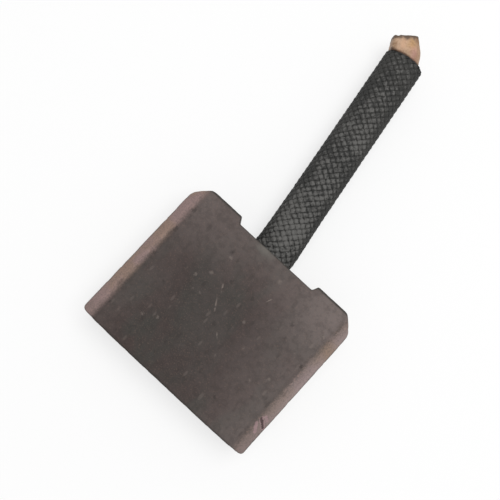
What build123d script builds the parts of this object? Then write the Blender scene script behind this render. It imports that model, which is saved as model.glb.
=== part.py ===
from build123d import *
import math
import os

# A carbon brush for a small starter motor: a pressed copper-graphite block with a
# stranded copper lead moulded into it, under a woven sleeve.
# The origin is the centre of the running face. +Y runs along the brush to the lead,
# +X across its width and +Z up through its thickness, so it lies on a broad face.
# All sizes are in millimetres.

# Pressed block
block_width = 19.0
block_length = 15.5
block_thickness = 5.8
bevel_across = 1.0          # long-edge bevel, measured across the broad face
bevel_down = 0.8            # the same bevel, measured down the narrow side
corner_cut = 1.4            # 45 degree cut at both lead-end corners
corner_radius = 0.45        # softens the four upright corners and cuts
recess_width = 8.7          # at the recess floor
recess_depth = 0.62
recess_draft = 0.25         # how far each recess side leans out at its mouth
recess_radius = 0.15

# Stranded copper rope: one core strand and a ring of outer strands laid round it
core_diameter = 0.88
strand_diameter = 0.88
outer_strands = 6
strand_gap = 0.11           # between the core and each outer strand
lay_length = 36.0           # rope length for one full turn of an outer strand
runs_per_turn = 10          # straight runs in one turn of a strand's path
embedded_length = 7.0       # rope pressed into the block behind the recess floor
bore_clearance = 0.04
rope_offset = 0.4           # towards -X from the middle of the block
rope_lean = 8.4             # degrees, towards -X, after the bend at the block
rope_bend_radius = 10.0

# Woven sleeve
sleeve_clearance = 0.08     # between the rope and the inside of the sleeve
sleeve_wall = 0.48
sleeve_length = 22.3        # along the rope, from the recess floor

# Pressed and welded rope end
slug_inset = 0.6            # round part that stays inside the sleeve
mouth_flat = 0.03           # half of each small flat where the round part starts to square up
slug_lean = 31.0            # degrees, towards -X from the lead
slug_neck = 1.1             # round rope turning into the rectangular slug
slug_length = 1.35          # from the neck to the cut face
slug_width = 3.0            # at the neck
slug_height = 2.3           # at the neck
slug_end_width = 2.45
slug_end_height = 2.1
slug_corner_radius = 0.4
slug_rim = 0.18             # bevel round the cut face

# Derived sizes
recess_floor = block_length - recess_depth
recess_mouth = recess_width + 2 * recess_draft
shoulder_middle = (recess_mouth / 2 + block_width / 2 - corner_cut) / 2
strand_offset = core_diameter / 2 + strand_gap + strand_diameter / 2
corner_offset = strand_offset / math.cos(math.pi / runs_per_turn)
rope_diameter = 2 * corner_offset + strand_diameter
sleeve_bore = rope_diameter + 2 * sleeve_clearance
sleeve_diameter = sleeve_bore + 2 * sleeve_wall
bend_angle = math.radians(rope_lean)
bend_length = rope_bend_radius * bend_angle

# Centre line of the lead: straight inside the block, one arc at its exit, then straight
along_block = Vector(0, 1, 0)
along_lead = Vector(-math.sin(bend_angle), math.cos(bend_angle), 0)
across_lead = Vector(math.cos(bend_angle), math.sin(bend_angle), 0)
slug_angle = bend_angle + math.radians(slug_lean)
along_slug = Vector(-math.sin(slug_angle), math.cos(slug_angle), 0)
across_slug = Vector(math.cos(slug_angle), math.sin(slug_angle), 0)
upward = Vector(0, 0, 1)
rope_exit = Vector(-rope_offset, recess_floor, 0)
rope_start = rope_exit - along_block * embedded_length
bend_centre = rope_exit - Vector(rope_bend_radius, 0, 0)
bend_end = bend_centre + across_lead * rope_bend_radius
sleeve_end = bend_end + along_lead * (sleeve_length - bend_length)
rope_end = sleeve_end - along_lead * slug_inset
rope_length = embedded_length + sleeve_length - slug_inset


def rope_station(distance):
    """Centre and sideways direction of the rope at a distance from its start."""
    past_exit = distance - embedded_length
    turned = min(max(past_exit / rope_bend_radius, 0), bend_angle)
    sideways = Vector(math.cos(turned), math.sin(turned), 0)
    forward = Vector(-math.sin(turned), math.cos(turned), 0)
    if past_exit <= 0:
        return rope_start + along_block * distance, sideways
    run = max(past_exit - bend_length, 0)
    return bend_centre + sideways * rope_bend_radius + forward * run, sideways


def strand_corner(distance, start_angle):
    """Corner of an outer strand's path, far enough out for its runs to keep off the core."""
    centre, sideways = rope_station(distance)
    angle = start_angle + 2 * math.pi * distance / lay_length
    outward = sideways * math.cos(angle) + upward * math.sin(angle)
    return centre + outward * corner_offset


# Block: the bevelled section pushed along the brush, trimmed to the outline with its
# corner cuts and recess, and bored for the rope
with BuildPart() as carbon_block:
    with BuildSketch(Plane.XZ):
        with BuildLine():
            Polyline(
                (0, block_thickness / 2),
                (block_width / 2 - bevel_across, block_thickness / 2),
                (block_width / 2, block_thickness / 2 - bevel_down),
                (block_width / 2, bevel_down - block_thickness / 2),
                (block_width / 2 - bevel_across, -block_thickness / 2),
                (0, -block_thickness / 2),
            )
            mirror(about=Plane.YZ)
        make_face()
    extrude(amount=-block_length)
    with BuildSketch(Plane.XY) as outline:
        with Locations((0, block_length / 2)):
            Rectangle(block_width, block_length)
        chamfer(outline.vertices().group_by(Axis.Y)[-1], length=corner_cut)
        fillet(outline.vertices(), radius=corner_radius)
        with BuildLine():
            Polyline(
                (-recess_mouth / 2, block_length),
                (-recess_width / 2, recess_floor),
                (recess_width / 2, recess_floor),
                (recess_mouth / 2, block_length),
                close=True,
            )
        make_face(mode=Mode.SUBTRACT)
        recess_corners = outline.vertices().filter_by_position(Axis.X, -shoulder_middle, shoulder_middle)
        fillet(recess_corners, radius=recess_radius)
    extrude(amount=block_thickness / 2, both=True, mode=Mode.INTERSECT)
    with Locations(Plane(origin=rope_exit, z_dir=along_block)):
        Hole(radius=rope_diameter / 2 + bore_clearance, depth=embedded_length)
carbon_block.part.label = "carbon_block"

# Core strand: along the rope's centre line
with BuildPart() as core_strand:
    with BuildLine():
        Line(rope_start, rope_exit)
        JernArc(start=rope_exit, tangent=along_block, radius=rope_bend_radius, arc_size=rope_lean)
        Line(bend_end, rope_end)
    with BuildSketch(Plane(origin=rope_start, z_dir=along_block)):
        Circle(core_diameter / 2)
    sweep()
core_strand.part.label = "core_strand"


def lay_outer_strand(number):
    """One outer strand: mitred runs laid round the core, trimmed square at both rope ends."""
    start_angle = 2 * math.pi * number / outer_strands
    run_length = lay_length / runs_per_turn
    run_count = math.ceil(rope_length / run_length) + 1
    half_spare = (run_count * run_length - rope_length) / 2
    distances = [i * run_length - half_spare for i in range(run_count + 1)]
    points = [strand_corner(distance, start_angle) for distance in distances]
    with BuildPart() as strand:
        with BuildLine():
            Polyline(*points)
        with BuildSketch(Plane(origin=points[0], z_dir=points[1] - points[0])):
            Circle(strand_diameter / 2)
        sweep(transition=Transition.RIGHT)
        split(bisect_by=Plane(origin=rope_start, z_dir=along_block), keep=Keep.TOP)
        split(bisect_by=Plane(origin=rope_end, z_dir=along_lead), keep=Keep.BOTTOM)
    strand.part.label = f"outer_strand_{number + 1}"
    return strand.part


outer_strand_parts = [lay_outer_strand(number) for number in range(outer_strands)]

# Sleeve: a tube from the recess floor to the slug's neck
with BuildPart() as woven_sleeve:
    with BuildLine() as sleeve_path:
        JernArc(start=rope_exit, tangent=along_block, radius=rope_bend_radius, arc_size=rope_lean)
        Line(bend_end, sleeve_end)
    with BuildSketch(Plane(origin=rope_exit, z_dir=along_block)) as sleeve_outside:
        Circle(sleeve_diameter / 2)
    sweep(sleeve_outside.sketch, path=sleeve_path.line)
    with BuildSketch(Plane(origin=rope_exit, z_dir=along_block)) as sleeve_inside:
        Circle(sleeve_bore / 2)
    sweep(sleeve_inside.sketch, path=sleeve_path.line, mode=Mode.SUBTRACT)
woven_sleeve.part.label = "woven_sleeve"

# Rope end: round inside the sleeve, then bent aside and pressed to a rounded rectangle
round_plane = Plane(origin=rope_end, x_dir=across_lead, z_dir=along_lead)
mouth_plane = round_plane.offset(slug_inset)
pressed_plane = Plane(origin=sleeve_end + along_slug * slug_neck, x_dir=across_slug, z_dir=along_slug)
cut_plane = pressed_plane.offset(slug_length)
with BuildPart() as pressed_slug:
    with BuildSketch(round_plane):
        Circle(rope_diameter / 2)
    extrude(amount=slug_inset)
    with BuildSketch(mouth_plane):
        RectangleRounded(rope_diameter, rope_diameter, rope_diameter / 2 - mouth_flat)
    with BuildSketch(pressed_plane):
        RectangleRounded(slug_width, slug_height, slug_corner_radius)
    loft()
    with BuildSketch(pressed_plane):
        RectangleRounded(slug_width, slug_height, slug_corner_radius)
    with BuildSketch(cut_plane):
        RectangleRounded(slug_end_width, slug_end_height, slug_corner_radius)
    loft()
    cut_face = pressed_slug.faces().sort_by(Axis(cut_plane.origin, cut_plane.z_dir))[-1]
    chamfer(cut_face.edges(), length=slug_rim)
pressed_slug.part.label = "pressed_slug"

# One file for each piece
os.makedirs("parts", exist_ok=True)
for piece in [carbon_block.part, core_strand.part, woven_sleeve.part, pressed_slug.part] + outer_strand_parts:
    export_step(piece, f"parts/{piece.label}.step")
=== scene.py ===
import math
import random
import bmesh
import bpy
from mathutils import Matrix, Vector, noise
from mathutils.geometry import intersect_point_line


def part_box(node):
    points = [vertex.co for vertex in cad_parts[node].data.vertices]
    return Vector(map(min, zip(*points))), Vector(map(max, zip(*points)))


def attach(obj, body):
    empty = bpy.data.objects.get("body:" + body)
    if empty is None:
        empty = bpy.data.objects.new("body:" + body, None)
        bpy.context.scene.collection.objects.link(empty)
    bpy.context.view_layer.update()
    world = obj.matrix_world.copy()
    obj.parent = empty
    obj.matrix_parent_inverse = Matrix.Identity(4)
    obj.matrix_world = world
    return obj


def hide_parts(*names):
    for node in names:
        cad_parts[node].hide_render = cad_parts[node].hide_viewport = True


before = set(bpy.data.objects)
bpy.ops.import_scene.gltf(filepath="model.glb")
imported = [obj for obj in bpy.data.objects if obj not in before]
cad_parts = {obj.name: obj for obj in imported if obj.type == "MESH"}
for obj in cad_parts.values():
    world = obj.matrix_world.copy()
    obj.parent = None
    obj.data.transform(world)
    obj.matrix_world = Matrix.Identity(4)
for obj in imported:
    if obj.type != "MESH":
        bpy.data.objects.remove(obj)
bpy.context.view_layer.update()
body = "root"
perMetre = 1000.0        # pieces are modelled in millimetres and scaled down once they are finished
tiny = 1e-5              # how near to a cutting plane counts as on it
near = 0.01              # how near two places count as one, and two directions as flat
seed = 7
random.seed(seed)
noise.seed_set(seed)     # noise_vector would otherwise differ from run to run

# Carbon brush: pressed block, braided sleeve, welded rope end, and the rope's strands inside them.
# +Y runs along the brush to the lead, +X across it and +Z up. The origin is the running face.


def boxOf(node):
    low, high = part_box(node)
    return low * perMetre, high * perMetre


def colour(text):        # "#rrggbb" as the linear colour that nodes take
    shares = [int(text[i:i + 2], 16) / 255 for i in (1, 3, 5)]
    linear = [s / 12.92 if s <= 0.04045 else ((s + 0.055) / 1.055) ** 2.4 for s in shares]
    return (*linear, 1.0)


def smooth(value, low, high):        # 0 at low, 1 at high, eased in between; low may be the larger
    share = min(max((value - low) / (high - low), 0.0), 1.0)
    return share * share * (3 - 2 * share)


class Wire:              # a node's socket that takes part in sums
    def __init__(self, paint, socket):
        self.paint = paint
        self.socket = socket

    def __add__(self, other):
        return self.paint.sum("ADD", self, other)

    def __radd__(self, other):
        return self.paint.sum("ADD", other, self)

    def __sub__(self, other):
        return self.paint.sum("SUBTRACT", self, other)

    def __rsub__(self, other):
        return self.paint.sum("SUBTRACT", other, self)

    def __mul__(self, other):
        return self.paint.sum("MULTIPLY", self, other)


class Paint:             # the nodes behind one material, or behind the world
    def __init__(self, owner, shader="Principled BSDF"):
        owner.use_nodes = True
        self.owner = owner
        self.tree = owner.node_tree
        self.shader = self.tree.nodes[shader]

    def node(self, kind, settings, inputs, output=0):
        made = self.tree.nodes.new(kind)
        for key, value in settings.items():
            setattr(made, key, value)
        for key, value in inputs.items():
            self.plug(made.inputs[key], value)
        return Wire(self, made.outputs[output])

    def plug(self, socket, value):
        if isinstance(value, Wire):
            self.tree.links.new(value.socket, socket)
        else:
            socket.default_value = value

    def sum(self, operation, first, second):
        return self.node("ShaderNodeMath", {"operation": operation}, {0: first, 1: second})

    def absolute(self, value):
        return self.node("ShaderNodeMath", {"operation": "ABSOLUTE"}, {0: value})

    def step(self, value, low, high):        # 0 at low, 1 at high, eased; low may be the larger
        settings = {"interpolation_type": "SMOOTHSTEP", "clamp": True}
        return self.node("ShaderNodeMapRange", settings, {"Value": value, "From Min": low, "From Max": high})

    def bump(self, value, centre, reach):    # 1 at the centre, 0 from its reach on
        return self.step(self.absolute(value - centre), reach, 0.0)

    def rise(self, value, low, high, strength):
        return self.step(value, low, high) * strength

    def blend(self, factor, first, second):
        settings = {"data_type": "RGBA", "clamp_factor": True}
        return self.node("ShaderNodeMix", settings, {0: factor, 6: first, 7: second}, 2)

    def layer(self, under, over, value, low, high, strength):        # lets over show as the value rises
        return self.blend(self.rise(value, low, high, strength), under, over)

    def millimetres(self, turn=0.0, stretch=(1.0, 1.0, 1.0), shift=(0.0, 0.0, 0.0)):
        place = self.node("ShaderNodeTexCoord", {}, {}, "Object")
        scale = [perMetre * s for s in stretch]
        inputs = {"Vector": place, "Scale": scale, "Rotation": (0, 0, turn), "Location": shift}
        return self.node("ShaderNodeMapping", {}, inputs)

    def axes(self, vector):
        return [self.node("ShaderNodeSeparateXYZ", {}, {0: vector}, axis) for axis in "XYZ"]

    def grain(self, vector, scale, detail=3.0, roughness=0.55):
        inputs = {"Vector": vector, "Scale": scale, "Detail": detail, "Roughness": roughness}
        return self.node("ShaderNodeTexNoise", {}, inputs, "Fac")

    def cells(self, vector, scale):
        inputs = {"Vector": vector, "Scale": scale}
        return self.node("ShaderNodeTexVoronoi", {"feature": "F1"}, inputs, "Distance")

    def attribute(self, name):
        return self.node("ShaderNodeAttribute", {"attribute_name": name}, {}, "Fac")

    def finish(self, values, height=None, distance=None, strength=None):
        if height is not None:
            inputs = {"Height": height, "Distance": distance, "Strength": strength}
            values = {**values, "Normal": self.node("ShaderNodeBump", {}, inputs, "Normal")}
        for key, value in values.items():
            self.plug(self.shader.inputs[key], value)
        return self.owner


def meshOf(bm, name):
    mesh = bpy.data.meshes.new(name)
    bm.to_mesh(mesh)
    bm.free()
    return mesh


def place(mesh, name, material, slot, *replaced):        # millimetres to metres, then onto the body
    mesh.transform(Matrix.Diagonal((1 / perMetre, 1 / perMetre, 1 / perMetre, 1.0)))
    mesh.polygons.foreach_set("use_smooth", [True] * len(mesh.polygons))
    mesh.materials.append(material)
    piece = bpy.data.objects.new(name, mesh)
    bpy.context.scene.collection.objects.link(piece)
    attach(piece, body)
    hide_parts(*replaced)
    print("made", name, len(mesh.polygons), "faces")
    return piece


def edgesOf(geometry):
    return [g for g in geometry if isinstance(g, bmesh.types.BMEdge)]


def vertsOf(geometry):
    return [g for g in geometry if isinstance(g, bmesh.types.BMVert)]


# The pressed block
block = {
    "bevelAcross": 1.0,
    "bevelDown": 0.8,
    "cornerCut": 1.4,
    "cornerRadius": 0.32,
    "cornerSegments": 4,
    "recessWidth": 8.7,
    "recessDepth": 0.62,
    "recessDraft": 0.25,
    "edgeSoftness": 0.09,
    "edgeSegments": 2,
    "sharpTurn": math.radians(12),               # an edge that turns more than this is softened
    "fineness": 0.115,           # size of the faces that carry the pits
    "grain": 0.006,              # height of the pressed grain
    "grainScale": 5.0,           # noise per millimetre, as for the scales below
    "pit": 0.05,                 # depth of the larger pits
    "facePits": 0.3,             # share of that depth on the broad faces
    "facePitsEnd": 0.1,          # how far below the bevels that share ends
    "crumble": 0.06,             # how far the long edges are worn
    "nick": 0.09,                # depth of the nicks on the edges
    "wornReach": 0.35,           # how far from a long edge it is worn
    "rim": 0.3,                  # how far in from a face its edges begin
    "skin": 0.05,                # and how far in they count in full
    "raggedScale": 3.7,
    "crown": 0.12,               # how far the running edge is worn back at its two ends
    "crownReach": 2.0,           # how far up the block that goes
    "crownPower": 4,             # larger keeps it nearer to the ends
    "bevelWear": 0.1,            # extra rounding where the bevels meet the upper face
    "bevelWearReach": 0.55,
    "bevelWearDepths": (0.4, 0.1),               # where it starts and is full, below the upper face
    # patches of noise: scale, shift, and the values at which they begin and are full
    "pitPatches": (2.3, (5, 1, 9), 0.42, 0.62),
    "crumblePatches": (1.1, (3, 7, 2), -0.1, 0.5),
    "nickPatches": (1.7, (8, 2, 4), 0.4, 0.6),
    "chipRims": ((4.0, 0.06), (9.0, 0.05)),          # scale, and how far it shifts the rim
    "chipFloor": 0.2,            # share of a chip's half width that has its full depth
    "chipFull": 0.125,           # depth from which a chip has its full colour
    "chips": (                   # both ends, half width and depth
        ((8.68, 3.66, 2.76), (9.3, 3.12, 2.26), 0.2, 0.15),
        ((8.8, 4.02, 2.66), (9.15, 3.82, 2.38), 0.13, 0.06),
        ((8.55, 3.1, 2.86), (8.95, 2.45, 2.54), 0.17, 0.07),
    ),
}
blockLow, blockHigh = boxOf("carbon_block")
blockWidth = blockHigh.x - blockLow.x
blockLength = blockHigh.y - blockLow.y
blockThickness = blockHigh.z - blockLow.z
halfWide = blockWidth / 2
halfThick = blockThickness / 2
recessFloor = blockLength - block["recessDepth"]
faceEdge = halfWide - block["bevelAcross"]       # where the broad faces end
sideEdge = halfThick - block["bevelDown"]        # where the narrow sides end
cutStart = halfWide - block["cornerCut"]         # where the corner cuts start


def trim(bm, point, normal):         # cuts off what is past a plane and closes the cut
    geometry = bm.verts[:] + bm.edges[:] + bm.faces[:]
    plane = {"plane_co": point, "plane_no": normal, "dist": tiny}
    cut = bmesh.ops.bisect_plane(bm, geom=geometry, clear_outer=True, **plane)
    bmesh.ops.contextual_create(bm, geom=edgesOf(cut["geom_cut"]))


def sharpEdges(bm):
    return [e for e in bm.edges if e.is_manifold and e.calc_face_angle(0) > block["sharpTurn"]]


def roundOff(bm, edges, amount, segments):
    bmesh.ops.bevel(
        bm, geom=edges, offset=amount, offset_type="OFFSET", segments=segments,
        profile=0.5, affect="EDGES", material=-1, clamp_overlap=True,
    )


def uprightCorner(edge):
    first, second = (v.co for v in edge.verts)
    upright = abs(first.x - second.x) < near and abs(first.y - second.y) < near
    return upright and abs(first.x) > cutStart - near


def blockShape():
    bm = bmesh.new()
    bmesh.ops.create_cube(bm, size=1.0)
    bmesh.ops.scale(bm, vec=(blockWidth, blockLength, blockThickness), verts=bm.verts)
    bmesh.ops.translate(bm, vec=(0, blockLength / 2, 0), verts=bm.verts)
    for side in (-1, 1):
        for face in (-1, 1):
            edge = (side * faceEdge, 0, face * halfThick)
            trim(bm, edge, (side * block["bevelDown"], 0, face * block["bevelAcross"]))
        trim(bm, (side * cutStart, blockLength, 0), (side, 1, 0))
    bmesh.ops.dissolve_limit(bm, angle_limit=near, verts=bm.verts, edges=bm.edges)
    corners = [e for e in bm.edges if uprightCorner(e)]
    roundOff(bm, corners, block["cornerRadius"], block["cornerSegments"])
    floorHalf = block["recessWidth"] / 2
    mouthHalf = floorHalf + block["recessDraft"]
    for x in (-mouthHalf, -floorHalf, floorHalf, mouthHalf):
        geometry = bm.verts[:] + bm.edges[:] + bm.faces[:]
        bmesh.ops.bisect_plane(bm, geom=geometry, plane_co=(x, 0, 0), plane_no=(1, 0, 0), dist=tiny)
    floor = [v for v in bm.verts if abs(v.co.x) < floorHalf + near and v.co.y > blockLength - near]
    bmesh.ops.translate(bm, vec=(0, -block["recessDepth"], 0), verts=floor)
    bmesh.ops.dissolve_limit(bm, angle_limit=near, verts=bm.verts, edges=bm.edges)
    roundOff(bm, sharpEdges(bm), block["edgeSoftness"], block["edgeSegments"])
    bmesh.ops.recalc_face_normals(bm, faces=bm.faces)
    return meshOf(bm, "blockShape")


def evenFaces(mesh, size):           # the same shape in small even faces, fine enough to be pitted
    holder = bpy.data.objects.new("holder", mesh)
    bpy.context.scene.collection.objects.link(holder)
    remesh = holder.modifiers.new("even", "REMESH")
    remesh.mode = "VOXEL"
    remesh.voxel_size = size
    bpy.context.view_layer.update()
    graph = bpy.context.evaluated_depsgraph_get()
    even = bpy.data.meshes.new_from_object(holder.evaluated_get(graph))
    bpy.data.objects.remove(holder)
    return even


def edgeNearness(point):             # 1 on the block's long and short edges, 0 on its open faces
    across, height = abs(point.x), abs(point.z)
    rim, skin = block["rim"], block["skin"]
    onTop = smooth(abs(across - faceEdge), block["wornReach"], 0.0)
    onSide = smooth(abs(height - sideEdge), block["wornReach"], 0.0)
    ends = smooth(min(point.y, blockLength - point.y), rim, 0.0)
    high = smooth(height, halfThick - rim, halfThick - skin)
    wide = smooth(across, halfWide - rim, halfWide - skin)
    return max(onTop * high, onSide * wide, ends * max(high, wide))


def brokenDepth(point):              # the chips, with ragged rims
    ragged = sum(noise.noise(point * scale) * shift for scale, shift in block["chipRims"])
    depth = 0.0
    for start, end, halfWidth, most in block["chips"]:
        share = intersect_point_line(point, Vector(start), Vector(end))[1]
        nearest = Vector(start).lerp(Vector(end), min(max(share, 0.0), 1.0))
        reach = (point - nearest).length + ragged
        depth = max(depth, smooth(reach, halfWidth, halfWidth * block["chipFloor"]) * most)
    return depth


def patchy(point, patches):          # 1 inside the patches of a noise, 0 outside
    scale, shift, begin, full = patches
    return smooth(noise.noise(point * scale + Vector(shift)), begin, full)


def wornDepth(point):                # grain, pits and worn edges
    fine = noise.noise(point * block["grainScale"]) * block["grain"]
    offFace = smooth(abs(point.z), halfThick - block["rim"], sideEdge - block["facePitsEnd"])
    pits = patchy(point, block["pitPatches"]) * block["pit"]
    pits *= block["facePits"] + (1 - block["facePits"]) * offFace
    worn = patchy(point, block["crumblePatches"]) * block["crumble"]
    worn *= 0.5 + 0.5 * noise.noise(point * block["raggedScale"])
    nicks = patchy(point, block["nickPatches"]) * block["nick"]
    rounded = smooth(abs(abs(point.x) - faceEdge), block["bevelWearReach"], 0.0) * block["bevelWear"]
    rounded *= smooth(halfThick - point.z, *block["bevelWearDepths"])
    return fine + pits + edgeNearness(point) * (worn + nicks) + rounded


def makeBlock(material):
    mesh = evenFaces(blockShape(), block["fineness"])
    bm = bmesh.new()
    bm.from_mesh(mesh)
    bm.normal_update()
    broken = bm.verts.layers.float.new("broken")
    for vert in bm.verts:
        vert[broken] = brokenDepth(vert.co)
    moved = [v.co - v.normal * (wornDepth(v.co) + v[broken]) for v in bm.verts]
    for vert, spot in zip(bm.verts, moved):
        outer = (spot.x / halfWide) ** block["crownPower"]
        spot.y += block["crown"] * outer * smooth(spot.y, block["crownReach"], 0.0)
        vert.co = spot
        vert[broken] /= block["chipFull"]
    return place(meshOf(bm, "pressedBlock"), "pressed_block", material, "copper_graphite", "carbon_block")


# The lead's line: one small arc where it leaves the block, then straight
lead = {
    "offset": -0.4,                  # its exit from the block, off the middle
    "lean": math.radians(8.4),       # towards -X
    "bendRadius": 10.0,
}
leadAcross = Vector((math.cos(lead["lean"]), math.sin(lead["lean"]), 0))
leadAlong = Vector((-math.sin(lead["lean"]), math.cos(lead["lean"]), 0))


def onLead(point):                   # takes a point laid out along a straight +Y lead to the leaning one
    turned = min(max(point.y / lead["bendRadius"], 0.0), lead["lean"])
    sideways = Vector((math.cos(turned), math.sin(turned), 0))
    forward = Vector((-math.sin(turned), math.cos(turned), 0))
    centre = Vector((lead["offset"] - lead["bendRadius"], recessFloor, 0)) + sideways * lead["bendRadius"]
    past = point.y - turned * lead["bendRadius"]
    return centre + forward * past + sideways * point.x + Vector((0, 0, point.z))


# The braided sleeve
sleeve = {
    "length": 22.3,
    "yarnsEachWay": 16,
    "braidAngle": math.radians(50.0),
    "yarnWidth": 0.5,
    "yarnThickness": 0.15,
    "stationsPerCrossing": 4,
    "sides": 8,
    "spare": 0.5,                    # of each yarn past the sleeve's ends, before it is cut
    "liningWall": 0.2,
    "liningInset": 0.9,              # of a yarn's thickness, from the braid's middle line inwards
    "liningSides": 40,
    "liningStations": 60,
    "liningCrest": -1.5,             # paints the lining with the painted shade of the gaps
    "unevenness": 0.035,
    "ripples": ((0.9, (0, 0, 0), 1.0), (2.6, (4, 4, 4), 0.5)),       # noise per millimetre, shift, share
    "firmStart": 1.0,                # at the block it doesn't shift along the lead
    "slimness": 0.98,                # along most of its length
    "flare": 0.075,                  # fuller where it meets the block
    "flareLength": 4.0,
}
sleeveLow, sleeveHigh = boxOf("woven_sleeve")
sleeveRadius = (sleeveHigh.z - sleeveLow.z) / 2
braidRadius = sleeveRadius - sleeve["yarnThickness"]
turnPerMm = math.tan(sleeve["braidAngle"]) / braidRadius
crossingLength = math.pi / (turnPerMm * sleeve["yarnsEachWay"])


def yarnFrame(travel, way):          # where a yarn's section stands after some travel along the sleeve
    angle = way * turnPerMm * travel
    wave = way * math.cos(math.pi * travel / crossingLength) * sleeve["yarnThickness"] / 2
    outward = Vector((math.sin(angle), 0, math.cos(angle)))
    around = Vector((math.cos(angle), 0, -math.sin(angle))) * way
    forward = Vector((0, 1, 0)) + around * math.tan(sleeve["braidAngle"])
    forward.normalize()
    sideways = outward.cross(forward)
    section = Matrix((sideways, outward, forward)).transposed().to_4x4()
    section.translation = outward * (braidRadius + wave) + Vector((0, travel, 0))
    return section


def cutYarn(bm, verts, point, normal):           # trims one yarn and closes its cut end
    faces = {f for v in verts for f in v.link_faces}
    edges = {e for v in verts for e in v.link_edges}
    geometry = list(verts) + list(edges) + list(faces)
    plane = {"plane_co": point, "plane_no": normal, "dist": tiny}
    kept = bmesh.ops.bisect_plane(bm, geom=geometry, clear_outer=True, **plane)
    bmesh.ops.contextual_create(bm, geom=edgesOf(kept["geom_cut"]))
    return [v for v in vertsOf(kept["geom"]) if v.is_valid]


def makeYarn(bm, way):               # one yarn, its section extruded past both ends and then cut square
    ring = bmesh.ops.create_circle(bm, segments=sleeve["sides"], radius=0.5)["verts"]
    bmesh.ops.scale(bm, vec=(sleeve["yarnWidth"], sleeve["yarnThickness"], 1), verts=ring)
    made = list(ring)
    edges = list({e for v in ring for e in v.link_edges})
    start = -sleeve["spare"]
    run = sleeve["length"] + 2 * sleeve["spare"]
    before = yarnFrame(start, way)
    bmesh.ops.transform(bm, matrix=before, verts=ring)
    count = round(run / crossingLength * sleeve["stationsPerCrossing"])
    for station in range(1, count + 1):
        after = yarnFrame(start + run * station / count, way)
        grown = bmesh.ops.extrude_edge_only(bm, edges=edges)["geom"]
        ring = vertsOf(grown)
        edges = edgesOf(grown)
        bmesh.ops.transform(bm, matrix=after @ before.inverted(), verts=ring)
        before = after
        made += ring
    for end, outward in ((0.0, -1), (sleeve["length"], 1)):
        made = cutYarn(bm, made, (0, end, 0), (0, outward, 0))
    return made


def lining(bm, crest):               # the closed wall under the braid, which the yarns lie on
    outside = braidRadius - sleeve["yarnThickness"] * sleeve["liningInset"]
    run = sleeve["length"] / sleeve["liningStations"]
    made = []
    walls = []
    for radius in (outside, outside - sleeve["liningWall"]):
        ring = bmesh.ops.create_circle(bm, segments=sleeve["liningSides"], radius=radius)["verts"]
        bmesh.ops.rotate(bm, cent=(0, 0, 0), matrix=Matrix.Rotation(math.pi / 2, 3, "X"), verts=ring)
        edges = list({e for v in ring for e in v.link_edges})
        made += ring
        ends = [edges]
        for _ in range(sleeve["liningStations"]):
            grown = bmesh.ops.extrude_edge_only(bm, edges=edges)["geom"]
            edges = edgesOf(grown)
            made += vertsOf(grown)
            bmesh.ops.translate(bm, vec=(0, run, 0), verts=vertsOf(grown))
        ends.append(edges)
        walls.append(ends)
    for outer, inner in zip(*walls):
        bmesh.ops.bridge_loops(bm, edges=outer + inner)
    for vert in made:
        # painted shade: the lining gets the gaps' dark colour
        vert[crest] = sleeve["liningCrest"]


def shapeSleeve(bm):                 # fuller at the block, a little uneven, then bent along the lead
    for vert in bm.verts:
        girth = sleeve["slimness"] + sleeve["flare"] * math.exp(-vert.co.y / sleeve["flareLength"])
        vert.co.x *= girth
        vert.co.z *= girth
        uneven = Vector()
        for scale, shift, share in sleeve["ripples"]:
            ripple = noise.noise_vector(vert.co * scale + Vector(shift))
            uneven += ripple * sleeve["unevenness"] * share
        outward = Vector((vert.co.x, 0, vert.co.z)).normalized()
        uneven -= outward * max(uneven.dot(outward), 0.0)        # never past the solid
        uneven.y *= smooth(vert.co.y, 0.0, sleeve["firmStart"])
        vert.co = onLead(vert.co + uneven)


def makeSleeve(material):
    bm = bmesh.new()
    crest = bm.verts.layers.float.new("crest")
    tone = bm.verts.layers.float.new("tone")
    for way in (-1, 1):
        yarn = makeYarn(bm, way)
        faces = list({f for v in yarn for f in v.link_faces})
        step = 2 * math.pi / sleeve["yarnsEachWay"]
        for number in range(1, sleeve["yarnsEachWay"]):
            copied = vertsOf(bmesh.ops.duplicate(bm, geom=faces)["geom"])
            turned = Matrix.Rotation(step * number, 3, "Y")
            bmesh.ops.rotate(bm, cent=(0, 0, 0), matrix=turned, verts=copied)
            shade = random.random()
            for vert in copied:
                vert[tone] = shade
    for vert in bm.verts:
        radius = math.hypot(vert.co.x, vert.co.z)
        vert[crest] = (radius - braidRadius) / sleeve["yarnThickness"]
    lining(bm, crest)
    shapeSleeve(bm)
    bmesh.ops.recalc_face_normals(bm, faces=bm.faces)
    return place(meshOf(bm, "braidedSleeve"), "braided_sleeve", material, "sleeve", "woven_sleeve")


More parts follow.
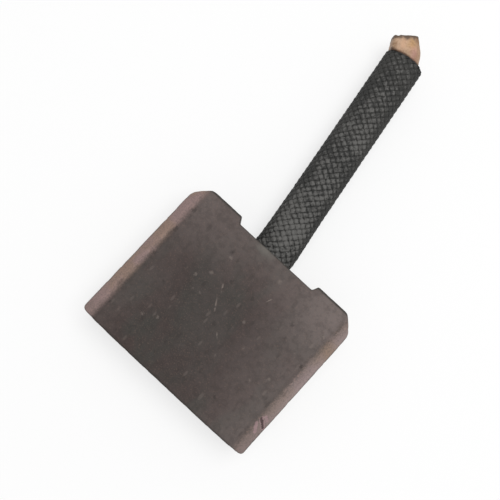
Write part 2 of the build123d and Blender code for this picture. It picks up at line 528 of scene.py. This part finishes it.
# The rope's pressed and welded end
slug = {
    "inset": 0.6,
    "lean": math.radians(31.0),      # on from the lead's own lean
    "neck": 1.1,
    "length": 1.35,
    "width": 2.78,
    "height": 2.3,
    "endWidth": 2.45,
    "endHeight": 2.1,
    "rim": 0.16,
    "squareness": 6.5,               # an ellipse has 2, and more is boxier
    "squareFrom": 0.9,               # share of the neck at which it has its full height and squareness
    "sides": 96,
    "insetSteps": 2,
    "neckSteps": 9,
    "bodySteps": 14,
    "rimTurns": (20, 40, 60, 80),    # degrees round the rim
    "endRings": (0.8, 0.6, 0.4, 0.2),            # on the cut face, as shares of its size
    "strands": 6,
    "groove": 0.05,                  # left of the furrows between the strands, at the neck
    "grooveTwist": 1.1,              # radians per millimetre
    "grooveSharpness": 3,
    "grooveLost": 0.8,               # share of it that is pressed flat past the neck
    "pressedFrom": 0.2,
    "notchAt": -0.72,                # across the cut, in half widths
    "notchWidth": 0.2,
    "notchDepth": 0.1,
    "notchReach": (0.45, 0.1),       # where it starts and is full, back from the cut face
    "notchHeight": (0.2, 0.7),       # and above the middle
    "unevenness": 0.04,
    "ripples": ((1.5, 1.0), (4.5, 0.3)),         # noise per millimetre, share
}
ellipse = 2.0                        # the squareness of an ellipse
slugLow, slugHigh = boxOf("pressed_slug")
ropeRadius = (slugHigh.z - slugLow.z) / 2
sleeveEnd = onLead(Vector((0, sleeve["length"], 0)))
slugAngle = lead["lean"] + slug["lean"]
slugAlong = Vector((-math.sin(slugAngle), math.cos(slugAngle), 0))
slugAcross = Vector((math.cos(slugAngle), math.sin(slugAngle), 0))
slugReach = slug["neck"] + slug["length"]


def squared(angle, halfWidth, halfHeight, power):        # a point on a circle that turns into a rounded box
    c, s = math.cos(angle), math.sin(angle)
    size = (abs(c) ** power + abs(s) ** power) ** (-1 / power)
    return halfWidth * size * c, halfHeight * size * s


def slugStations():                  # centre, sideways direction, half width, half height, squareness, travel
    stations = []
    square = slug["squareness"]
    width, height = slug["width"] / 2, slug["height"] / 2
    endWidth, endHeight = slug["endWidth"] / 2, slug["endHeight"] / 2
    for step in range(slug["insetSteps"] + 1):
        centre = sleeveEnd - leadAlong * slug["inset"] * (1 - step / slug["insetSteps"])
        stations.append((centre, leadAcross, ropeRadius, ropeRadius, ellipse, 0.0))
    for step in range(1, slug["neckSteps"] + 1):
        share = step / slug["neckSteps"]
        formed = smooth(share, 0.0, slug["squareFrom"])
        turned = lead["lean"] + slug["lean"] * smooth(share, 0.0, 1.0)
        across = Vector((math.cos(turned), math.sin(turned), 0))
        travel = slug["neck"] * share
        size = (ropeRadius + (width - ropeRadius) * share, ropeRadius + (height - ropeRadius) * formed)
        power = ellipse + (square - ellipse) * formed
        stations.append((sleeveEnd + slugAlong * travel, across, *size, power, travel))
    straight = slug["length"] - slug["rim"]
    for step in range(1, slug["bodySteps"] + 1):
        share = step / slug["bodySteps"]
        travel = slug["neck"] + straight * share
        size = (width + (endWidth - width) * share, height + (endHeight - height) * share)
        stations.append((sleeveEnd + slugAlong * travel, slugAcross, *size, square, travel))
    for turn in slug["rimTurns"]:
        narrow = slug["rim"] * (1 - math.cos(math.radians(turn)))
        travel = slug["neck"] + straight + slug["rim"] * math.sin(math.radians(turn))
        size = (endWidth - narrow, endHeight - narrow)
        stations.append((sleeveEnd + slugAlong * travel, slugAcross, *size, square, travel))
    for share in slug["endRings"]:
        size = ((endWidth - slug["rim"]) * share, (endHeight - slug["rim"]) * share)
        stations.append((sleeveEnd + slugAlong * slugReach, slugAcross, *size, square, slugReach))
    return stations


def makeSlug(material):              # a tube of stacked unit rings, each then pressed to its own section
    bm = bmesh.new()
    travelled = bm.verts.layers.float.new("travelled")
    sidewise = bm.verts.layers.float.new("sidewise")
    furrow = bm.verts.layers.float.new("furrow")
    stations = slugStations()
    ring = bmesh.ops.create_circle(bm, segments=slug["sides"], radius=1.0)["verts"]
    edges = list({e for v in ring for e in v.link_edges})
    bmesh.ops.contextual_create(bm, geom=edges)
    for _ in stations[1:]:
        grown = bmesh.ops.extrude_edge_only(bm, edges=edges)["geom"]
        edges = edgesOf(grown)
        bmesh.ops.translate(bm, vec=(0, 0, 1), verts=vertsOf(grown))
    bmesh.ops.contextual_create(bm, geom=edges)
    for vert in bm.verts:
        centre, across, halfWidth, halfHeight, power, travel = stations[round(vert.co.z)]
        angle = math.atan2(vert.co.y, vert.co.x)
        x, z = squared(angle, halfWidth, halfHeight, power)
        pressed = smooth(travel, slug["pressedFrom"], slug["neck"] + slug["pressedFrom"])
        lay = angle * slug["strands"] + travel * slug["grooveTwist"]
        dip = (0.5 + 0.5 * math.cos(lay)) ** slug["grooveSharpness"] * (1 - slug["grooveLost"] * pressed)
        narrowed = 1 - dip * slug["groove"] / ropeRadius
        vert.co = centre + across * x * narrowed + Vector((0, 0, z * narrowed))
        share = x / halfWidth
        notched = smooth(abs(share - slug["notchAt"]), slug["notchWidth"], slug["notchWidth"] / 2)
        notched *= smooth(slugReach - travel, *slug["notchReach"]) * smooth(z, *slug["notchHeight"])
        vert.co -= slugAlong * notched * slug["notchDepth"]
        for scale, part in slug["ripples"]:
            vert.co += noise.noise_vector(vert.co * scale) * slug["unevenness"] * part
        vert[travelled] = travel / slugReach
        vert[sidewise] = share
        vert[furrow] = dip
    bmesh.ops.recalc_face_normals(bm, faces=bm.faces)
    return place(meshOf(bm, "weldedEnd"), "welded_end", material, "copper", "pressed_slug")


# Finishes
carbonShades = {
    "face": colour("#3d3735"),
    "faceCool": colour("#3b3936"),
    "faceWarm": colour("#3f3634"),
    # painted sheen: the shade the upper face turns to where the softbox's reflection would be
    "paintedSheen": colour("#6c625f"),
    "mottle": colour("#2f2b29"),
    "bevelTan": colour("#8d786d"),
    "bevelPink": colour("#8f7a77"),
    "bevelDull": colour("#7a6b66"),
    "bevelGrey": colour("#857c7b"),
    # painted highlight along the right bevel's outer edge
    "bevelRimHighlight": colour("#a59492"),
    "tanPatch": colour("#8b7663"),
    # painted shade for the dark lines along the running edge, the shoulders and the recess
    "edge": colour("#383633"),
    "greyPatch": colour("#63605b"),
    "lightFleck": colour("#756b65"),
    "darkFleck": colour("#2e2a28"),
    "copperGrain": colour("#927769"),
    "chip": colour("#463a3a"),
    "chipRim": colour("#9c8385"),
    "side": colour("#57514d"),
}
carbonLook = {
    # noises: scale per millimetre, detail and roughness
    "fineNoise": (7.0, 4.0, 0.7),
    "cloudNoise": (0.22, 4.0),
    "wanderNoise": (1.3,),
    "mottleNoise": (1.6, 4.0, 0.7),
    "sideNoise": (2.6, 4.0, 0.7),
    "fleckNoise": (0.45, 1.0),
    "scratchNoise": (2.4, 1.0),
    "reliefNoise": (3.0,),
    "tintTurn": math.radians(43),
    "tintStretch": (0.3, 0.14, 0.3),
    "driftStretch": (0.3, 0.3, 0.3),
    "driftShift": (3, 1, 0),
    # layers: the value at which each starts to show, the value at which it is full, and its strength
    "tint": (0.4, 0.6, 1.0),
    "clouds": (0.35, 0.65, 0.6),
    "sheenRight": (0.5, 9.5, 0.5),               # painted sheen by place: these three lighten the face towards the right, the far end and the left
    "sheenFar": (8.5, 15.0, 0.4),
    "sheenLeft": (-3.5, -9.0, 0.2),
    "mottling": (0.42, 0.66, 0.32),
    "faceCopper": (0.5, 0.75, 0.16),
    "underCopper": (0.45, 0.66, 0.85),
    "drift": (0.42, 0.58, 1.0),
    "bevelClouds": (0.52, 0.66, 0.6),
    "rightRimHighlight": (8.85, 9.3, 0.4),
    "rightDull": (7.0, 2.0, 0.6),
    "bevelPits": (0.55, 0.35, 0.4),
    "bevelCopper": (0.56, 0.72, 0.4),
    "sideClouds": (0.4, 0.62, 0.5),
    "sideMottling": (0.5, 0.66, 0.45),
    "sideCopper": (0.5, 0.66, 0.5),
    "runningEdge": (0.3, 0.04, 0.4),             # painted shade along the running edge, the shoulders and the recess; these three by distance from the face
    "shoulderShade": (0.3, 0.12, 0.85),
    "recess": (0.14, 0.02, 0.6),
    "chipRim": (0.0, 0.15, 0.75),
    "chip": (0.5, 0.85, 0.85),
    # places: where a mask is 0 and where it is 1, or its middle and its reach
    "broadFaces": (0.14, 0.06),                  # below the face
    "rightHalf": (-0.5, 0.5),
    "underHalf": (0.0, -0.5),
    "upperFace": (2.6, 2.8),
    "greyPatchAcross": (-1.1, 1.6),
    "greyPatchAlong": (14.0, 14.6),
    "greyPatchUp": (2.5, 2.8),
    "tanPatchAlong": (11.8, 1.7),
    "bevelFoot": (-0.08, 0.12),                  # from the side's edge
    "recessSides": (4.4, 4.2),
    "fleckRim": (0.2, 0.1),
    "fleckGaps": (0.45, 0.58),
    "scratchGaps": (0.36, 0.5),
    # the soft inner edge of the bevels
    "fadeIn": 0.54,              # from the face's edge inwards
    "fadeInRight": 0.11,         # less on the right
    "fade": 0.8,
    "fadeRight": 0.07,           # more on the right
    "fadeWander": 0.3,
    "fadeGrain": 0.25,
    # strengths
    "sheenClouds": 0.35,
    "greyPatch": 0.7,
    "greyPatchWander": 0.5,
    "rightGrey": 0.45,
    "rightRimWander": 0.2,
    "tanPatch": 0.7,
    "chipGrain": 0.5,
    "lightFleck": 0.2,
    "lightFleckOffFace": 0.2,    # share of it away from the broad faces
    "darkFleck": 0.3,
    "lightSpot": 0.42,
    "darkSpot": 0.45,
    "spotWander": 0.5,
    "spotGrain": 0.6,
    "spotShrink": 0.03,
    "spotCore": 0.35,            # share of a spot's reach that has its full strength
    "scratch": 0.75,
    "scratchCore": 0.3,
    "roughness": 0.5,
    "roughGrain": 0.25,
    "roughChip": 0.2,
    "metallic": 0.1,
    "specular": 0.08,
    # relief: shares of each in the height, then its distance in metres and its strength
    "reliefFine": 0.6,
    "reliefGrain": 0.5,
    "reliefLight": 0.1,
    "reliefDark": 0.4,
    "reliefScratch": 0.8,
    "relief": (0.000012, 0.7),
}
# short marks along a direction: turn in degrees, shift and scale
fleckStretch = (1.0, 0.4, 1.0)
lightFlecks = ((50, (0, 0, 0), 1.0), (-35, (6, 12, 3), 1.3))
darkFlecks = ((42, (4, 9, 2), 0.9), (-48, (1, 6, 5), 1.1))
carbonMarks = (                      # scratches on the upper face: from, to, half width
    ((-1.95, 10.25), (-1.3, 9.15), 0.1),
    ((-1.5, 8.95), (-0.5, 7.35), 0.09),
    ((2.45, 12.35), (1.95, 11.1), 0.07),
    ((7.7, 12.75), (8.05, 12.3), 0.06),
    ((0.6, 6.6), (1.15, 6.0), 0.08),
)
lightSpots = (                       # spots on the upper face: place and reach
    (-2.9, 12.1, 0.24), (-3.2, 10.0, 0.22), (-4.2, 9.0, 0.2), (-3.5, 7.9, 0.24), (-2.8, 8.0, 0.18),
    (1.7, 13.5, 0.3), (1.8, 8.7, 0.22), (3.3, 7.0, 0.24), (5.6, 5.4, 0.22), (6.8, 6.6, 0.22),
    (1.9, 4.9, 0.2), (-4.0, 4.0, 0.22), (-5.2, 3.3, 0.24), (7.8, 12.5, 0.24),
)
darkSpots = (
    (-3.1, 12.5, 0.22), (5.1, 11.4, 0.3), (-1.3, 10.6, 0.24), (1.0, 10.7, 0.3), (0.0, 6.9, 0.32),
    (-5.8, 6.6, 0.24), (-4.9, 3.0, 0.28), (-2.1, 2.9, 0.22), (4.3, 2.3, 0.24), (8.1, 9.3, 0.26),
    (-8.0, 2.2, 0.3), (-8.1, 7.9, 0.34), (-8.2, 10.7, 0.36), (-8.1, 13.0, 0.34),
)


def spotMask(p, spot, places, wobble):                   # 1 on each small spot
    mask = 0.0
    for x, y, reach in places:
        inputs = {0: spot, 1: (x, y, halfThick)}
        far = p.node("ShaderNodeVectorMath", {"operation": "DISTANCE"}, inputs, "Value")
        mask = mask + p.step(far + wobble, reach, reach * carbonLook["spotCore"])
    return mask


def markMask(p, x, y, start, end, halfWidth):            # 1 on a short straight mark
    run = Vector(end) - Vector(start)
    middle = run.length / 2
    run.normalize()
    along = (x - start[0]) * run.x + (y - start[1]) * run.y
    aside = p.absolute((y - start[1]) * run.x - (x - start[0]) * run.y)
    return p.step(aside, halfWidth, halfWidth * carbonLook["scratchCore"]) * p.bump(along, middle, middle)


def fleckMask(p, flecks):                                # 1 on short marks that lie along one direction
    mask = 0.0
    for turn, shift, scale in flecks:
        stretched = p.millimetres(math.radians(turn), fleckStretch, shift)
        shown = p.step(p.grain(stretched, *carbonLook["fleckNoise"]), *carbonLook["fleckGaps"])
        mask = mask + p.step(p.cells(stretched, scale), *carbonLook["fleckRim"]) * shown
    return mask


def carbonPaint():
    p = Paint(bpy.data.materials.new("pressedCopperGraphite"))
    shades, look = carbonShades, carbonLook
    spot = p.millimetres()
    x, y, z = p.axes(spot)
    across = p.absolute(x)
    upOrDown = p.absolute(z)
    fine = p.grain(spot, *look["fineNoise"])
    cloud = p.grain(spot, *look["cloudNoise"])
    wander = p.grain(spot, *look["wanderNoise"]) - 0.5
    onRight = p.step(x, *look["rightHalf"])
    onBroad = p.step(halfThick - upOrDown, *look["broadFaces"])

    tint = p.grain(p.millimetres(look["tintTurn"], look["tintStretch"]), 1.0)
    face = p.layer(shades["faceCool"], shades["faceWarm"], tint, *look["tint"])
    face = p.layer(face, shades["face"], cloud, *look["clouds"])
    # painted sheen: the face lighter towards the right, the far end and the left, broken up by the clouds
    paintedSheenMask = p.rise(x, *look["sheenRight"]) + p.rise(y, *look["sheenFar"]) + p.rise(x, *look["sheenLeft"])
    face = p.blend(paintedSheenMask + (cloud - 0.5) * look["sheenClouds"], face, shades["paintedSheen"])
    face = p.layer(face, shades["mottle"], p.grain(spot, *look["mottleNoise"]), *look["mottling"])
    face = p.layer(face, shades["copperGrain"], fine, *look["faceCopper"])
    beside = p.bump(x + wander, *look["greyPatchAcross"]) * p.step(z, *look["greyPatchUp"])
    beside = beside * p.step(y + wander * look["greyPatchWander"], *look["greyPatchAlong"])
    face = p.blend(beside * look["greyPatch"], face, shades["greyPatch"])
    under = p.layer(face, shades["copperGrain"], fine, *look["underCopper"])
    face = p.blend(p.step(z, *look["underHalf"]), face, under)

    drift = p.grain(p.millimetres(0.0, look["driftStretch"], look["driftShift"]), 1.0)
    bevel = p.layer(shades["bevelTan"], shades["bevelPink"], drift, *look["drift"])
    bevel = p.layer(bevel, shades["bevelDull"], cloud, *look["bevelClouds"])
    bevel = p.blend(onRight * look["rightGrey"], bevel, shades["bevelGrey"])
    # painted highlight: the right bevel lighter along its outer edge
    outerHighlight = p.rise(across + wander * look["rightRimWander"], *look["rightRimHighlight"])
    bevel = p.blend(onRight * outerHighlight, bevel, shades["bevelRimHighlight"])
    tan = p.bump(y + wander, *look["tanPatchAlong"]) * look["tanPatch"]
    bevel = p.blend(onRight * tan, bevel, shades["tanPatch"])
    bevel = p.blend(onRight * p.rise(y + wander, *look["rightDull"]), bevel, shades["bevelDull"])
    bevel = p.layer(bevel, shades["side"], fine, *look["bevelPits"])
    bevel = p.layer(bevel, shades["copperGrain"], fine, *look["bevelCopper"])
    start = faceEdge - look["fadeIn"] + onRight * look["fadeInRight"]
    full = start + look["fade"] + onRight * look["fadeRight"]
    inside = p.step(across + wander * look["fadeWander"] + (fine - 0.5) * look["fadeGrain"], start, full)
    onBevel = inside * p.step(upOrDown - sideEdge, *look["bevelFoot"])
    side = p.layer(shades["side"], shades["mottle"], cloud, *look["sideClouds"])
    side = p.layer(side, shades["bevelDull"], p.grain(spot, *look["sideNoise"]), *look["sideMottling"])
    side = p.layer(side, shades["copperGrain"], fine, *look["sideCopper"])
    skin = p.blend(onBroad, side, face)
    skin = p.blend(onBevel, skin, bevel)

    # painted shade: darker along the running edge, the shoulders' back edges and the recess's edge, where
    # those faces turn from the light
    runningShade = p.rise(y, *look["runningEdge"])
    shoulderShade = p.rise(blockLength - y, *look["shoulderShade"])
    recess = p.rise(recessFloor - y, *look["recess"]) * p.step(across, *look["recessSides"]) * (1 - beside)
    skin = p.blend(runningShade + shoulderShade + recess, skin, shades["edge"])

    light = fleckMask(p, lightFlecks)
    light = light * (onBroad * (1 - look["lightFleckOffFace"]) + look["lightFleckOffFace"])
    dark = fleckMask(p, darkFlecks)
    skin = p.blend(light * look["lightFleck"], skin, shades["lightFleck"])
    skin = p.blend(dark * look["darkFleck"], skin, shades["darkFleck"])
    ragged = wander * look["spotWander"] + (fine - 0.5) * look["spotGrain"] + look["spotShrink"]
    skin = p.blend(spotMask(p, spot, lightSpots, ragged) * look["lightSpot"], skin, shades["lightFleck"])
    skin = p.blend(spotMask(p, spot, darkSpots, ragged) * look["darkSpot"], skin, shades["darkFleck"])
    scratched = 0.0
    for mark in carbonMarks:
        scratched = scratched + markMask(p, x, y, *mark)
    unbroken = p.step(p.grain(spot, *look["scratchNoise"]), *look["scratchGaps"])
    scratched = scratched * p.step(z, *look["upperFace"]) * unbroken
    skin = p.blend(scratched * look["scratch"], skin, shades["lightFleck"])

    broken = p.attribute("broken")
    skin = p.layer(skin, shades["chipRim"], broken, *look["chipRim"])
    skin = p.layer(skin, shades["chip"], broken + (fine - 0.5) * look["chipGrain"], *look["chip"])

    rough = look["roughness"] + (fine - 0.5) * look["roughGrain"] + broken * look["roughChip"]
    height = fine * look["reliefFine"] + p.grain(spot, *look["reliefNoise"]) * look["reliefGrain"]
    height = height - light * look["reliefLight"] - dark * look["reliefDark"]
    height = height - scratched * look["reliefScratch"]
    values = {"Base Color": skin, "Roughness": rough, "Metallic": look["metallic"]}
    values["Specular IOR Level"] = look["specular"]
    return p.finish(values, height, *look["relief"])


sleeveShades = {
    # painted shade in the gaps between the yarns, also on the lining
    "gapShade": colour("#1f1f1f"),
    "yarn": colour("#333332"),
    # painted highlight on the yarns' crests
    "crest": colour("#605f5d"),
    "worn": colour("#42413f"),
}
sleeveLook = {
    # noises: scale per millimetre, detail and roughness
    "wearNoise": (1.9, 3.0, 0.65),
    "patchNoise": (0.35, 2.0),
    "fibreNoise": (5.0, 2.0),
    "reliefNoise": (30.0, 2.0),
    # layers: the value at which each starts to show, the value at which it is full, and its strength
    "yarn": (-0.6, 0.4, 1.0),
    "worn": (0.4, 0.65, 0.5),
    "wornCrests": (-0.4, 0.3, 1.0),
    "nearBlock": (30.0, 15.0, 0.3),              # crests lighter near the block, by place
    "farEnd": (29.0, 36.0, 0.3),                 # crests darker towards the far end
    "paintedSideShade": (0.6, 1.85, 0.95),             # painted shade: the crests dimmer on the sleeve's sides than on its top and bottom
    "crest": (0.35, 1.25, 1.0),
    "cutEnd": (0.12, 0.5, 0.7),
    # shares in what decides how light a yarn's crest is, a painted highlight varied by random tone, wear and
    # fibre
    "tone": 0.35,
    "wear": 1.9,
    "patches": 1.1,
    "fibre": 2.0,
    "roughness": 0.5,
    "roughWear": 0.2,
    "specular": 0.12,
    "relief": (0.000008, 0.5),                   # distance in metres and strength
}


def sleevePaint():
    p = Paint(bpy.data.materials.new("braidedGlassYarn"))
    shades, look = sleeveShades, sleeveLook
    crest = p.attribute("crest")
    tone = p.attribute("tone")
    spot = p.millimetres()
    x, y, z = p.axes(spot)
    wear = p.grain(spot, *look["wearNoise"])
    patches = p.grain(spot, *look["patchNoise"])
    fibre = p.grain(spot, *look["fibreNoise"])
    # painted shade: darker where a yarn dips into the gaps, and on the lining
    skin = p.layer(shades["gapShade"], shades["yarn"], crest, *look["yarn"])
    worn = p.rise(patches, *look["worn"]) * p.rise(crest, *look["wornCrests"])
    skin = p.blend(worn, skin, shades["worn"])
    # painted highlight on the crests, varied by random tone, wear, patches and fibre, stronger near the block
    # and weaker towards the far end
    shown = crest + (tone - 0.5) * look["tone"] + (wear - 0.5) * look["wear"]
    shown = shown + (patches - 0.5) * look["patches"] + (fibre - 0.5) * look["fibre"]
    shown = shown + p.rise(y, *look["nearBlock"]) - p.rise(y, *look["farEnd"])
    # painted shade: less crest highlight on the sleeve's sides than on its top and bottom
    shown = shown + p.rise(p.absolute(z), *look["paintedSideShade"]) - look["paintedSideShade"][-1]
    skin = p.layer(skin, shades["crest"], shown, *look["crest"])
    # darker at the sleeve's cut end, in the gaps' colour
    past = y - x * math.tan(lead["lean"]) - sleeveEnd.y
    skin = p.layer(skin, shades["gapShade"], past, *look["cutEnd"])
    rough = look["roughness"] + wear * look["roughWear"]
    values = {"Base Color": skin, "Roughness": rough, "Specular IOR Level": look["specular"]}
    return p.finish(values, p.grain(spot, *look["reliefNoise"]), *look["relief"])


copperShades = {
    "tan": colour("#b0937b"),
    "light": colour("#c49e80"),
    "yellow": colour("#b18a5a"),
    "pink": colour("#ad837b"),
    "dull": colour("#7f6247"),
    "furrow": colour("#7c573f"),
    # partly painted shadow in the gap where the copper leaves the sleeve, partly darker copper
    "mouth": colour("#3a2416"),
    # painted shade in the furrows between the strands
    "burnt": colour("#4f4036"),
    "wire": colour("#b9805c"),
    "wireDark": colour("#6d4630"),
}
slugPatches = (                      # shade, place across in half widths, place along, reach of the patch
    ("light", -0.2, 0.6, 0.4),
    ("yellow", 0.4, 0.6, 0.5),
    ("pink", 0.5, 0.27, 0.45),
    ("dull", -0.85, 0.6, 0.24),
    ("dull", 0.85, 0.85, 0.4),
)
slugLook = {
    # noises: scale per millimetre and detail
    "fineNoise": (6.0, 3.0),
    "blurNoise": (1.8, 2.0),
    "rimNoise": (2.6, 1.0),
    "blurAcross": 0.5,
    "blurAlong": 0.4,
    "blurMouth": 0.2,
    "patch": 0.75,
    "furrow": 0.5,
    # layers: the value at which each starts to show, the value at which it is full, and its strength
    "dull": (0.52, 0.36, 0.35),
    "mouth": (0.5, 0.22, 0.9),
    "burnt": (0.74, 0.94, 0.9),
    "burntGrain": 0.12,
    "burntRim": 0.3,
    "roughness": 0.45,
    "roughGrain": 0.2,
    "metallic": 0.2,
    "specular": 0.3,
    "reliefBlur": 0.5,
    "relief": (0.00002, 0.7),                    # distance in metres and strength
}
strandLook = {
    "stretch": (14.0, 0.7, 14.0),
    "wires": (0.35, 0.65, 1.0),
    "roughness": 0.35,
    "roughWires": 0.2,
    "metallic": 0.8,
    "relief": (0.00003, 0.8),
}


def slugPaint():
    p = Paint(bpy.data.materials.new("pressedCopper"))
    shades, look = copperShades, slugLook
    spot = p.millimetres()
    x, y = p.axes(spot)[:2]
    fine = p.grain(spot, *look["fineNoise"])
    blur = p.grain(spot, *look["blurNoise"]) - 0.5
    travelled = p.attribute("travelled")
    sidewise = p.attribute("sidewise")
    skin = shades["tan"]
    for shade, side, along, reach in slugPatches:
        patch = p.bump(sidewise + blur * look["blurAcross"], side, reach)
        patch = patch * p.bump(travelled + blur * look["blurAlong"], along, reach)
        skin = p.blend(patch * look["patch"], skin, shades[shade])
    # painted shade: darker in the furrows between the strands
    skin = p.blend(p.attribute("furrow") * look["furrow"], skin, shades["furrow"])
    skin = p.layer(skin, shades["dull"], fine, *look["dull"])
    # partly painted shadow where the copper leaves the sleeve, partly darker copper
    past = (x - sleeveEnd.x) * leadAlong.x + (y - sleeveEnd.y) * leadAlong.y
    skin = p.layer(skin, shades["mouth"], past + blur * look["blurMouth"], *look["mouth"])
    ragged = (fine - 0.5) * look["burntGrain"] + (p.grain(spot, *look["rimNoise"]) - 0.5) * look["burntRim"]
    skin = p.layer(skin, shades["burnt"], travelled + ragged, *look["burnt"])
    values = {"Base Color": skin, "Roughness": look["roughness"] + fine * look["roughGrain"]}
    values["Metallic"] = look["metallic"]
    values["Specular IOR Level"] = look["specular"]
    return p.finish(values, fine + blur * look["reliefBlur"], *look["relief"])


def strandPaint():                   # bunched wires, so fine lines along the rope
    p = Paint(bpy.data.materials.new("strandedCopper"))
    look = strandLook
    lines = p.grain(p.millimetres(-lead["lean"], look["stretch"]), 1.0, 2.0)
    skin = p.layer(copperShades["wireDark"], copperShades["wire"], lines, *look["wires"])
    rough = look["roughness"] + lines * look["roughWires"]
    values = {"Base Color": skin, "Roughness": rough, "Metallic": look["metallic"]}
    return p.finish(values, lines, *look["relief"])


makeBlock(carbonPaint())
makeSleeve(sleevePaint())
makeSlug(slugPaint())
strandMaterial = strandPaint()
for name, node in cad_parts.items():
    if "strand" in name:
        node.data.materials.clear()
        node.data.materials.append(strandMaterial)
print("strands painted")


# Floor, light and camera
stage = {
    "floorSize": 0.9,
    "floorGap": 0.00002,
    "floorShade": 0.93,
    "floorRoughness": 0.9,
    "floorSpecular": 0.1,
    "floorGlow": 0.65,               # share of plain white in what is seen of the floor
    "worldLevel": 0.45,
    "lampPower": 0.75,
    "lampSize": 0.2,
    "lampPlace": (0.03, 0.07, 0.32),
    "cameraPlace": (0.00063, 0.00714, 0.07232),
    "aim": (-0.0022, 0.01404, 0.0),
    "imageRight": (0.7351, 0.6771, 0.0359),      # keeps the photograph's roll
    "lens": 57.0,
    "clipStart": 0.001,
    "clipEnd": 5.0,
}
white = (1.0, 1.0, 1.0, 1.0)


def seenShare(p):                    # 1 for what the camera sees, 0 for what lights the object
    kinds = ("Is Camera Ray", "Is Glossy Ray", "Is Transmission Ray")
    camera, glossy, transmission = [p.node("ShaderNodeLightPath", {}, {}, kind) for kind in kinds]
    return p.sum("MAXIMUM", p.sum("MAXIMUM", camera, glossy), transmission)


def makeFloor():
    bm = bmesh.new()
    bmesh.ops.create_grid(bm, x_segments=1, y_segments=1, size=stage["floorSize"] / 2)
    bmesh.ops.translate(bm, vec=(0, 0, blockLow.z / perMetre - stage["floorGap"]), verts=bm.verts)
    mesh = meshOf(bm, "floor")
    p = Paint(bpy.data.materials.new("paleFloor"))
    shade = (stage["floorShade"],) * 3 + (1.0,)
    rough, specular = stage["floorRoughness"], stage["floorSpecular"]
    p.finish({"Base Color": shade, "Roughness": rough, "Specular IOR Level": specular})
    lit = Wire(p, p.shader.outputs[0])
    glow = p.node("ShaderNodeEmission", {}, {"Color": white, "Strength": 1.0})
    mixed = p.node("ShaderNodeMixShader", {}, {0: seenShare(p) * stage["floorGlow"], 1: lit, 2: glow})
    p.plug(p.tree.nodes["Material Output"].inputs["Surface"], mixed)
    mesh.materials.append(p.owner)
    floor = bpy.data.objects.new("floor", mesh)
    bpy.context.scene.collection.objects.link(floor)


def makeWorld():
    p = Paint(bpy.data.worlds.new("studio"), "Background")
    strength = seenShare(p) * (1 - stage["worldLevel"]) + stage["worldLevel"]
    bpy.context.scene.world = p.finish({"Color": white, "Strength": strength})


def makeLamp():
    light = bpy.data.lights.new("softbox", "AREA")
    light.size = stage["lampSize"]
    light.energy = stage["lampPower"]
    lamp = bpy.data.objects.new("softbox", light)
    lamp.location = stage["lampPlace"]
    towards = Vector(stage["aim"]) - lamp.location
    lamp.rotation_euler = towards.to_track_quat("-Z", "Y").to_euler()
    bpy.context.scene.collection.objects.link(lamp)


def makeCamera():
    data = bpy.data.cameras.new("camera")
    data.lens = stage["lens"]
    data.clip_start = stage["clipStart"]
    data.clip_end = stage["clipEnd"]
    camera = bpy.data.objects.new("camera", data)
    place = Vector(stage["cameraPlace"])
    back = (place - Vector(stage["aim"])).normalized()
    right = Vector(stage["imageRight"])
    right = (right - back * right.dot(back)).normalized()
    turned = Matrix((right, back.cross(right), back)).transposed().to_4x4()
    turned.translation = place
    camera.matrix_world = turned
    bpy.context.scene.collection.objects.link(camera)
    bpy.context.scene.camera = camera


makeFloor()
makeWorld()
makeLamp()
makeCamera()
bpy.context.scene.view_settings.view_transform = "Standard"
print("stage set")
